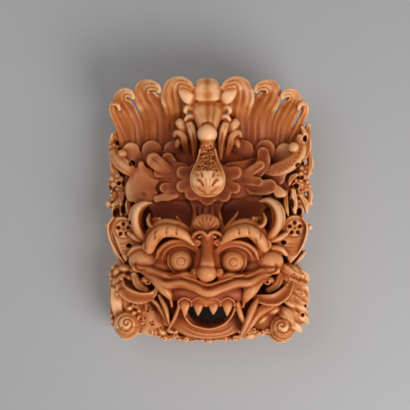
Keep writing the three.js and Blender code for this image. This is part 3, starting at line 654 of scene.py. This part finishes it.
for k in range(30):
    f, g = lace_rng.uniform(0, 1), lace_rng.uniform(-1, 1)
    punch(-98 + 34 * f + 9 * g, -124 - 38 * f + 8 * g, 1.5, 3, from_z=30)
veiner([(-79, -122), (-68, -135), (-58, -154)], 2.6, 7, from_z=40, fade=0.3)
for x, y, rx, ry, z, turn in [(-76, -163, 10, 8, 44, -20), (-62, -165, 9, 6, 48, -40),
        (58, -168, 11, 8, 52, 20), (76, -160, 11, 8, 50, -30), (88, -150, 9, 8, 50, 20),
        (74, -146, 12, 7, 58, 40), (90, -134, 12, 8, 58, 20), (70, -136, 12, 8, 66, 50)]:
    egg(x, y, z - 12, rx, ry, 20, turn=turn)
strand([(82, -126, 70), (66, -136, 78), (56, -150, 78), (47, -166, 68)], [7, 7, 5.5, 2], [10, 12, 12, 10],
    sides=24, grooves=[(0.4, 0.4, 0.1, 1.2)])
for k in range(7):
    spiral(56 + k * 6, -164 + 1.5 * math.sin(k * 2), 60 - k, 3.4, 60 * k, 1.0, 2, width=1.3, height=3)

# ---- Pods ----
# At each foot corner hangs a round snail-like pod: a ball with a rolled spiral above and rows of
# punched dots below.

PODS = [(-109.5, -154.5, 18.2, 19.5), (101, -158, 19.2, 20)]
for (px, py, rx, ry), s in zip(PODS, (-1, 1)):
    egg(px, py, 48, rx, ry, 24)
    egg(px, py, 26, rx - 1, ry - 1, 24)
    coil = []
    for k in range(60):
        f = k / 59
        a = math.radians(-60 + s * 30 - s * 810 * f)
        r = (rx - 3) * (1 - f) ** 0.9
        coil.append((px - s * 2.5 * f + r * math.cos(a), py + 5 * f + r * math.sin(a)))
    veiner(coil, 1.05, 2.4, from_z=40, fade=0.02)
    for row in range(5):
        for k in range(8 + row):
            a = math.radians(-150 + k * 130 / (7 + row))
            r = 0.34 + row * 0.135
            punch(px + rx * r * math.cos(a) + 1, py + 2 + ry * r * math.sin(a), 1.15, 2.2, from_z=44)
    rim = [(px + s * 1 + (rx + 0.5) * math.cos(a), py + (ry + 0.5) * math.sin(a),
        50) for a in np.linspace(-1.9, 0.9, 9)]
    strand([(2 * px - x, y, z) if s > 0 else (x, y, z) for x, y, z in rim], [0.8] + [1.3] * 7 + [0.8],
        [6] * 9, sides=10)

# ---- Hair ----
# Outside the jaw the carver left folded locks on one side and a tuft of pointed hair on the other.

hair_rng = np.random.default_rng(5)
for x, y, z, rx, ry, turn in [(-123, -84, 54, 8, 6, 60), (-112, -79, 56, 9, 5.5, -8),
        (-101, -83, 56, 8, 5, -40), (-116, -90, 58, 8, 4.6, 20), (-105, -92, 58, 7, 4, -30),
        (-124, -97, 56, 7, 5.5, 80), (-114, -101, 58, 6.5, 4, 60), (-127, -109, 54, 6, 5, 70),
        (-121, -113, 57, 6, 4, 30)]:
    egg(x, y, z - 5, rx, ry, 9, turn=turn)
for points in ([(-130, -92), (-126, -80), (-114, -75), (-104, -78)],
        [(-124, -100), (-120, -88), (-108, -84), (-98, -90)],
        [(-128, -108), (-121, -98), (-111, -94), (-102, -98)], [(-119, -118), (-118, -106), (-110, -103)]):
    veiner(points, 1.4, 2.6, from_z=40)
blade([(-124, -110, 56), (-123, -126, 58), (-120, -144, 54)], [8, 9, 7], scoop=-2.5)
blade([(-110, -116, 57), (-108, -128, 58), (-104, -138, 55)], [5, 6, 5], scoop=-1.5)
for k in range(16):
    egg(-129 + hair_rng.uniform(-2, 2), -80 - k * 5 + hair_rng.uniform(-2, 2), 42 + hair_rng.uniform(-6, 6),
        4, 4, 9, turn=hair_rng.uniform(0, 180))

dome(118, -116, 22, 44, 62, foot=30)
for k in range(20):
    x, y = 104 + (k % 3) * 8 + hair_rng.uniform(-2,
        2), -80 - (k // 3) * 11 - (k % 3) * 3 + hair_rng.uniform(-3, 3)
    reach = hair_rng.uniform(15, 22)
    drop = hair_rng.uniform(8, 16)
    end = min(x + reach, 135)
    strand([(x - 4, y + 5, 54), (x + 3, y, 64 - (k % 3)),
        ((x + end) / 2 + 3, y - drop * 0.55, 63 - 2 * (k % 3)), (end, y - drop - 3, 52)],
        [3, hair_rng.uniform(4.6, 6.6), 4.6, 0.7], [7, 8, 7, 3], steps=22, sides=36,
        grooves=[(-0.45, -0.4, 0.1, 1.5), (0, 0, 0.1, 1.5), (0.45, 0.4, 0.1, 1.5)],
        lean=hair_rng.uniform(-20, 20))
for k in range(60):
    punch(106 + hair_rng.uniform(0, 26), -84 - hair_rng.uniform(0, 34), 1.1, 1.6, from_z=52)
punch(127, -140, 2.6, 9, from_z=40)
punch(131, -128, 2.0, 8, from_z=36)

# ---- Ears ----
# Each ear is a broad hanging leaf with a pierced flower at its top and a rolled outer rim.

EAR_LEFT = [(-134, -20), (-129, -11), (-118, -7.5), (-107, -10), (-102, -20), (-100, -32), (-88, -40),
    (-84, -50), (-98, -56), (-104, -64), (-111, -71), (-120, -56), (-128, -36)]
EAR_RIGHT = [(102, -14), (110, -7), (120, -5.5), (131, -11), (136, -24), (134.5, -39), (128, -55),
    (116, -70), (110, -76), (104, -62), (94, -52), (86, -42), (96, -28)]
plate(EAR_LEFT, 58, edge=2.2, crown=2)
plate(EAR_RIGHT, 60, edge=2.2, crown=2)
for s, fx, fy in ((-1, -113, -26), (1, 117, -24)):
    strand([(s * 127, -10, 58), (s * 133, -22, 60), (s * 131, -38, 60), (s * 124, -54, 57),
        (s * 113, -72, 46)], [1.4, 1.8, 2.0, 1.8, 1.2], [6, 7, 7, 7, 6], steps=30)
    for k in range(5):
        a = math.radians(90 + k * 72)
        punch(fx + 7.4 * math.cos(a), fy + 7.4 * math.sin(a), 2.6, 6.5, from_z=40, squash=1.3,
            turn=math.degrees(a) + 90)
    veiner([(fx + 12 * math.cos(math.radians(t)),
        fy + 12 * math.sin(math.radians(t))) for t in range(0, 361, 30)], 0.9, 1.4, from_z=44, fade=0.02)
    punch(fx, fy, 1.6, 2.5, from_z=40)
    for k in range(4):
        veiner([(s * (90 + 4 * k), -42 - 3 * k), (s * (104 + 2.5 * k), -44 - 5 * k),
            (s * (121 - k), -46 - 5 * k)], 0.8, 0.9, from_z=46)
    punch(s * 105.5 if s < 0 else 102, -48 if s < 0 else -43.5, 4, 14, from_z=36, squash=0.8)
    strand([(s * 84, -40, 68), (s * 94, -37, 68), (s * 104, -32, 64)], [4, 4.6, 3], [12, 12, 10])
    strand([(s * 86, -50, 62), (s * 97, -52, 62), (s * 104, -58, 58)], [4, 4.6, 3], [12, 12, 10])
egg(138, -23, 52, 4.2, 4.2, 5)
egg(134, -24, 48, 4, 3, 6)
strand([(132, -58, 36), (125, -66, 40), (115, -77, 40)], [2.2, 3, 2.4], [10, 12, 12])
egg(-135, -22, 50, 4, 5, 6)

# ---- Side tracery ----
# Down both long sides runs a chain of flowers, leaves and rings, undercut so that dark gaps show.


def blossom(x, y, z, radius, start=0.0):
    """A small flower of five round petals about a bead."""
    for k in range(5):
        a = math.radians(start + k * 72)
        egg(x + radius * 0.62 * math.cos(a), y + radius * 0.62 * math.sin(a), z, radius * 0.5,
            radius * 0.44, 7, turn=math.degrees(a))
    egg(x, y, z + 3, radius * 0.28, radius * 0.28, 5)


def sprig(points, half, z):
    points = [(x * (0.965 if x < 0 else 0.99), y) for x, y in points]
    strand([(x, y, z) for x, y in points], [half * 0.6] + [half] * (len(points) - 2) + [half * 0.4],
        [9] * len(points), sides=20, grooves=[(0, 0, 0.22, 1.6)])


for x, y, z, r in [(-129, 100, 40, 7), (-131, 84, 44, 7), (-127, 40, 48, 10), (-120, 27, 47, 8),
        (-130, 18, 44, 7), (-131, 56, 44, 7), (133, 52, 50, 10), (124, 36, 48, 8), (134, 33, 46, 8),
        (130, 14, 44, 7), (135, 104, 50, 6), (128, 22, 46, 6)]:
    blossom(x * (0.97 if x < 0 else 0.99), y, z, r, start=x)
for points, half, z in [([(-135, 64), (-131, 54), (-124, 46)], 5, 46),
        ([(-118, 24), (-124, 12), (-134, 6)], 5, 46), ([(-109, 20), (-111, 4), (-108, -10)], 4.6, 50),
        ([(-123, 14), (-120, 2), (-122, -10)], 3.6, 46), ([(-132, 6), (-131, -4), (-126, -12)], 4, 44),
        ([(-134, 104), (-136, 88), (-134, 72)], 3.4, 40), ([(-135, 46), (-137, 34), (-134, 18)], 3.4, 38),
        ([(-116, 8), (-114, -2), (-116, -10)], 3, 40),
        ([(138, 116), (136, 104), (137, 84), (133, 70)], 5, 52),
        ([(128, 112), (133, 100), (131, 90)], 4, 56), ([(139, 78), (141, 62), (137, 44)], 4.4, 50),
        ([(122, 48), (115, 44), (111, 34)], 4, 52), ([(117, 28), (118, 10), (119, -4)], 5.4, 50),
        ([(107, 26), (107, 8), (110, -8)], 3.6, 50), ([(127, 20), (134, 10), (136, -4)], 4.4, 46),
        ([(139, 30), (141, 18), (138, 4)], 3.6, 44)]:
    sprig(points, half, z)
egg(-134, 8, 44, 5, 5, 8)
egg(139, 10, 44, 4.4, 4.4, 8)
egg(140, 52, 46, 3.5, 4, 7)
for x, y, r, q in [(-114, 1, 3.6, 2.0), (-125, -4, 3.6, 1.8), (-102, 63, 4, 1), (-120, 36, 3, 1),
        (-133, 30, 3, 1.3), (112.5, 8, 4.0, 2.2), (126, -2, 4.2, 1.4), (119.5, 32, 4.5, 1), (127, 44, 3, 1),
        (129, 64, 4, 1.2), (121, 60, 4, 0.9), (-103, -17, 3, 1.2), (134, 22, 3, 1), (-124, 92, 3, 1.2),
        (131, 96, 3, 1.6)]:
    punch(x, y, r, 16, from_z=22, squash=q)

# ---- Joining and the last cuts ----
# All forms are one piece of wood, so they are merged into one skin. The back hollow and the open
# mouth are cut through it, and then the small tools leave their grooves and dents.

FINE = 0.0008  # the grid of the joined skin, in metres
HOLLOW_Y = -42                       # the middle of the back hollow
HOLLOW_HALF = (88, 104)
HOLLOW_DEPTH = 50
THIN_WOOD = 9                        # the least wood the carver leaves over the hollow


def ground_solid():
    """The ground as a closed solid: open at the mouth, hollowed behind, and flat round its back edge."""
    high_side, wide = ground.shape
    mouth_x, mouth_y, half_wide, half_high = MOUTH
    mouth = ((across - mouth_x) / half_wide) ** 2 + ((along - mouth_y) / half_high) ** 2
    solid = (ground > 1) & (mouth > 1)
    bowl = 1 - (across / HOLLOW_HALF[0]) ** 2 - ((along - HOLLOW_Y) / HOLLOW_HALF[1]) ** 2
    back = np.minimum(HOLLOW_DEPTH * np.sqrt(np.maximum(bowl, 0)), np.maximum(ground - THIN_WOOD, 0))
    cells = solid[:-1, :-1] & solid[1:, :-1] & solid[:-1, 1:] & solid[1:, 1:]
    number = np.arange(high_side * wide).reshape(high_side, wide)
    j, i = np.nonzero(cells)
    a, b, c, d = number[j, i], number[j, i + 1], number[j + 1, i + 1], number[j + 1, i]
    under = high_side * wide
    faces = [np.stack([a, b, c, d], 1), np.stack([d, c, b, a], 1) + under]
    padded = np.pad(cells, 1)
    for dj, di, first, second in ((-1, 0, a, b), (1, 0, c, d), (0, -1, d, a), (0, 1, b, c)):
        open_side = ~padded[j + 1 + dj, i + 1 + di]
        p, q = first[open_side], second[open_side]
        faces.append(np.stack([q, p, p + under, q + under], 1))
    faces = np.vstack(faces)
    top = np.stack([across.ravel(), along.ravel(), ground.ravel()], 1)
    bottom = np.stack([across.ravel(), along.ravel(), back.ravel()], 1)
    points = np.vstack([top, bottom])
    used, faces = np.unique(faces, return_inverse=True)
    faces = faces.reshape(-1, 4)
    return new_object("ground", (points[used] * MM + np.array(spot(0, 0, 0))).tolist(), faces.tolist())


def joined(things, name):
    """All the given forms as one object at the origin."""
    let_go()
    for thing in things:
        thing.select_set(True)
    bpy.context.view_layer.objects.active = things[0]
    bpy.ops.object.transform_apply(location=True, rotation=True, scale=True)
    bpy.ops.object.join()
    whole = bpy.context.object
    whole.name = name
    whole.select_set(False)
    things.clear()
    return whole


def apply_modifier(thing, kind, **settings):
    let_go()
    thing.select_set(True)
    bpy.context.view_layer.objects.active = thing
    modifier = thing.modifiers.new(kind.lower(), kind)
    for key, value in settings.items():
        setattr(modifier, key, value)
    bpy.ops.object.modifier_apply(modifier=modifier.name)
    thing.select_set(False)


wood.insert(0, ground_solid())
mask = joined(wood, "carved_mask")
apply_modifier(mask, "REMESH", mode="VOXEL", voxel_size=FINE * 1.05)


def places(thing):
    flat = np.empty(len(thing.data.vertices) * 3, dtype=np.float32)
    thing.data.vertices.foreach_get("co", flat)
    return (flat.reshape(-1, 3).astype(np.float64) - np.array(spot(0, 0, 0))) / MM


def put_back(thing, points):
    flat = (points * MM + np.array(spot(0, 0, 0))).astype(np.float32)
    thing.data.vertices.foreach_set("co", flat.ravel())
    thing.data.update()


def facing(thing):
    flat = np.empty(len(thing.data.vertices) * 3, dtype=np.float32)
    thing.data.vertex_normals.foreach_get("vector", flat)
    return flat.reshape(-1, 3).astype(np.float64)


BLOCK_HEIGHT = 127
BLOCK_LEFT = 143
BLOCK_RIGHT = 147
TRIANGLES = 196000
UPWARD = 0.05  # the small tools reach only faces that look up at least this much

skin = places(mask)
upward = facing(mask)[:, 2] > UPWARD
for cut in fine_cuts:
    if cut[0] == "dent":
        _, x, y, radius, depth, from_z, squash, turn = cut
        reach = radius * max(1, squash)
        near = np.where(upward & (skin[:, 2] > from_z) & (abs(skin[:, 0] - x) < reach) & (abs(skin[:,
            1] - y) < reach))[0]
        r = oval(skin[near, 0] - x, skin[near, 1] - y, radius, radius * squash, turn)
        skin[near, 2] -= depth * np.clip(1 - r, 0, 1) ** 0.7
        continue
    _, points, width, depth, from_z, fade = cut
    line = smooth_line([(x, y, 0) for x, y in points], 10 * len(points))[:, :2]
    reach = 3 * width
    near = np.where(upward & (skin[:, 2] > from_z) & (skin[:, 0] > line[:, 0].min() - reach) & (skin[:,
        0] < line[:, 0].max() + reach) & (skin[:, 1] > line[:, 1].min() - reach) & (skin[:, 1] < line[:,
        1].max() + reach))[0]
    best = np.full(len(near), 1e9)
    shallow = np.ones(len(near))
    u = np.linspace(0, 1, len(line))
    strength = np.clip(np.minimum(u, 1 - u) / fade, 0.15, 1)
    for (x, y), strong in zip(line, strength):
        d = (skin[near, 0] - x) ** 2 + (skin[near, 1] - y) ** 2
        closer = d < best
        best[closer] = d[closer]
        shallow[closer] = strong
    skin[near, 2] -= depth * shallow * np.exp(-best / width ** 2)

put_back(mask, skin)
apply_modifier(mask, "REMESH", mode="VOXEL", voxel_size=FINE)
apply_modifier(mask, "SMOOTH", factor=0.5, iterations=1)

skin = places(mask)
skin[:, 2] = np.clip(skin[:, 2], 0, BLOCK_HEIGHT)
skin[:, 0] = np.clip(skin[:, 0], -BLOCK_LEFT, BLOCK_RIGHT)
put_back(mask, skin)

apply_modifier(mask, "DECIMATE", ratio=min(1.0, TRIANGLES / (2 * len(mask.data.polygons))))
for polygon in mask.data.polygons:
    polygon.use_smooth = True

# crumbs that came loose are swept off: all that doesn't hang together with the bud's tip
tip = int(np.argmax(places(mask)[:, 2]))
mask.select_set(True)
bpy.ops.object.mode_set(mode="EDIT")
bpy.ops.mesh.select_mode(type="VERT")
bpy.ops.mesh.select_all(action="DESELECT")
bpy.ops.object.mode_set(mode="OBJECT")
mask.data.vertices[tip].select = True
bpy.ops.object.mode_set(mode="EDIT")
bpy.ops.mesh.select_linked()
bpy.ops.mesh.select_all(action="INVERT")
bpy.ops.mesh.delete(type="VERT")
bpy.ops.object.mode_set(mode="OBJECT")
mask.select_set(False)

# ---- Finish ----
# The wood is oiled and burnished. Its colour is painted lighter on ridges and high places as a painted
# highlight, and darker and duller in the cuts, partly for oil and dust that stay there and partly as painted
# shade. Broad hollows are painted darker as painted shade, and the forehead and the face are painted darker
# and redder as painted shade. Fine grain runs the length of the mask.

skin = places(mask)
edge_ends = np.empty(len(mask.data.edges) * 2, dtype=np.int32)
mask.data.edges.foreach_get("vertices", edge_ends)
edge_ends = edge_ends.reshape(-1, 2)
towards = facing(mask)
touching = np.bincount(edge_ends.ravel(), minlength=len(skin))[:, None]


def averaged(values, rounds):
    for _ in range(rounds):
        total = np.zeros_like(values)
        for axis in range(values.shape[1]):
            total[:, axis] = (np.bincount(edge_ends[:, 0], values[edge_ends[:, 1], axis],
                len(values)) + np.bincount(edge_ends[:, 1], values[edge_ends[:, 0], axis], len(values)))
        values = 0.5 * values + 0.5 * total / np.maximum(touching, 1)
    return values


# Painted shade and highlight: the value stored below is high where the skin sits below its blurred
# surroundings and low on ridges. Small cuts get it partly for oil and dust and partly as painted shade, broad
# hollows get it as painted shade, and ridges get a painted highlight.
SMALL_CUT_SHADE = 0.45
BROAD_HOLLOW_SHADE = 0.07
near_blur = averaged(skin, 6)
wide_blur = averaged(near_blur, 40)
cavity = np.einsum("ij,ij->i", near_blur - skin, towards) * SMALL_CUT_SHADE
cavity += np.clip(np.einsum("ij,ij->i", wide_blur - skin, towards) * BROAD_HOLLOW_SHADE, -0.2, 0.3)
cavity = averaged(cavity[:, None], 1)[:, 0]
oil_shade_and_highlight_mark = mask.data.attributes.new("oil_shade_and_highlight", "FLOAT", "POINT")
oil_shade_and_highlight_mark.data.foreach_set("value", np.clip(0.5 + cavity, 0, 1).astype(np.float32))

wood_finish = bpy.data.materials.new("carved_wood")
wood_finish.use_nodes = True
nodes, links = wood_finish.node_tree.nodes, wood_finish.node_tree.links
surface = nodes["Principled BSDF"]
surface.inputs["Specular IOR Level"].default_value = 0.27


def node(kind, **settings):
    made = nodes.new(kind)
    for key, value in settings.items():
        setattr(made, key, value)
    return made


def ramp(source, *stops):
    made = node("ShaderNodeValToRGB")
    elements = made.color_ramp.elements
    while len(elements) < len(stops):
        elements.new(0.5)
    for element, (position, colour) in zip(elements, stops):
        element.position = position
        element.color = (*colour, 1)
    links.new(source, made.inputs["Fac"])
    return made.outputs["Color"]


def multiplied(first, second, amount):
    made = node("ShaderNodeMix", data_type="RGBA", blend_type="MULTIPLY")
    made.inputs["Factor"].default_value = amount
    links.new(first, made.inputs["A"])
    links.new(second, made.inputs["B"])
    return made.outputs["Result"]


def noise(scale, detail, stretch=(1.0, 1.0, 1.0)):
    mapping = node("ShaderNodeMapping")
    mapping.inputs["Scale"].default_value = stretch
    links.new(place_on.outputs["Object"], mapping.inputs["Vector"])
    made = node("ShaderNodeTexNoise")
    made.inputs["Scale"].default_value = scale
    made.inputs["Detail"].default_value = detail
    links.new(mapping.outputs["Vector"], made.inputs["Vector"])
    return made.outputs["Fac"]


place_on = node("ShaderNodeTexCoord")
oil_shade_and_highlight = node("ShaderNodeAttribute", attribute_name="oil_shade_and_highlight")
grain = noise(900, 4, (1.0, 0.08, 0.6))
patches = noise(16, 3)
# Painted highlight and shade: low values on ridges give a pale peach as a painted highlight, and high values
# in cuts and hollows give a deep red-brown, partly oil and dust and partly painted shade.
body = ramp(oil_shade_and_highlight.outputs["Fac"], (0.08, (0.88, 0.5, 0.26)), (0.34, (0.58, 0.21, 0.06)),
    (0.5, (0.44, 0.12, 0.022)), (0.68, (0.36, 0.085, 0.012)), (0.95, (0.2, 0.04, 0.005)))


def nearness(x, y, z, rx, ry, rz):
    """1 at a place on the block, falling to 0 at these reaches from it."""
    centre = spot(x, y, z)
    mapping = node("ShaderNodeMapping")
    mapping.inputs["Scale"].default_value = (1 / (rx * MM), 1 / (ry * MM), 1 / (rz * MM))
    mapping.inputs["Location"].default_value = (-centre.x / (rx * MM), -centre.y / (ry * MM),
        -centre.z / (rz * MM))
    links.new(place_on.outputs["Object"], mapping.inputs["Vector"])
    made = node("ShaderNodeTexGradient", gradient_type="SPHERICAL")
    links.new(mapping.outputs["Vector"], made.inputs["Vector"])
    return made.outputs["Fac"]


# Painted shade: the recessed forehead and the middle of the face are painted darker and redder, as shade and
# light bounced between the carvings would make them.
forehead_painted_shade = ramp(nearness(0, 52, 50, 150, 85, 70), (0, (1, 1, 1)), (0.15, (0.85, 0.75, 0.65)),
    (0.32, (0.62, 0.42, 0.3)), (0.6, (0.55, 0.34, 0.22)))
face_painted_shade = ramp(nearness(0, -80, 100, 140, 120, 120), (0, (1, 1, 1)), (0.3, (0.8, 0.58, 0.42)),
    (0.8, (0.76, 0.52, 0.36)))
body = multiplied(body, forehead_painted_shade, 1.0)
body = multiplied(body, face_painted_shade, 1.0)
body = multiplied(body, ramp(patches, (0.3, (0.82, 0.8, 0.78)), (0.7, (1.0, 1.0, 1.0))), 0.6)
body = multiplied(body, ramp(grain, (0.3, (0.6, 0.55, 0.5)), (0.7, (1.0, 1.0, 1.0))), 0.4)
links.new(body, surface.inputs["Base Color"])
gloss = ramp(oil_shade_and_highlight.outputs["Fac"], (0.3, (0.32, 0.32, 0.32)), (0.7, (0.7, 0.7, 0.7)))
links.new(gloss, surface.inputs["Roughness"])
relief = node("ShaderNodeBump")
relief.inputs["Strength"].default_value = 0.25
relief.inputs["Distance"].default_value = 0.0004
links.new(grain, relief.inputs["Height"])
links.new(relief.outputs["Normal"], surface.inputs["Normal"])

mask.data.materials.clear()
mask.data.materials.append(wood_finish)
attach(mask, "root")
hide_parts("mask")

# ---- Floor, light and camera ----
# The mask lies on a plain pale grey sweep. One broad soft lamp stands low on the right, a weaker one
# fills from the upper left, and the camera looks straight down.

bpy.ops.mesh.primitive_plane_add(size=6, location=(0, 0, FLOOR_Z - 0.0004))
floor = bpy.context.object
floor.name = "floor"
floor_finish = bpy.data.materials.new("floor_grey")
floor_finish.use_nodes = True
floor_finish.node_tree.nodes["Principled BSDF"].inputs["Base Color"].default_value = (0.358, 0.36, 0.37, 1)
floor_finish.node_tree.nodes["Principled BSDF"].inputs["Roughness"].default_value = 0.9
floor.data.materials.append(floor_finish)


def lamp(name, where, size, power, colour):
    light = bpy.data.lights.new(name, "AREA")
    light.shape = "DISK"
    light.size = size
    light.energy = power
    light.color = colour
    holder = bpy.data.objects.new(name, light)
    bpy.context.scene.collection.objects.link(holder)
    holder.location = where
    holder.rotation_euler = (Vector((0, 0, 0.03)) - Vector(where)).to_track_quat("-Z", "Y").to_euler()


lamp("window", (0.9, -0.9, 1.15), 1.3, 27, (1.0, 0.98, 0.96))
lamp("fill", (-1.0, 0.6, 1.6), 1.6, 11, (0.95, 0.97, 1.0))

world = bpy.data.worlds.new("room")
world.use_nodes = True
world.node_tree.nodes["Background"].inputs["Color"].default_value = (1.0, 0.96, 0.92, 1)
world.node_tree.nodes["Background"].inputs["Strength"].default_value = 0.36
bpy.context.scene.world = world
bpy.context.scene.view_settings.view_transform = "Standard"

CAMERA_HEIGHT = 1.3
camera = bpy.data.cameras.new("camera")
camera.sensor_width = 36
camera.lens = 81
viewer = bpy.data.objects.new("camera", camera)
bpy.context.scene.collection.objects.link(viewer)
viewer.location = spot(-3.4, 6.8, 0) + Vector((0, 0, CAMERA_HEIGHT))
bpy.context.scene.camera = viewer
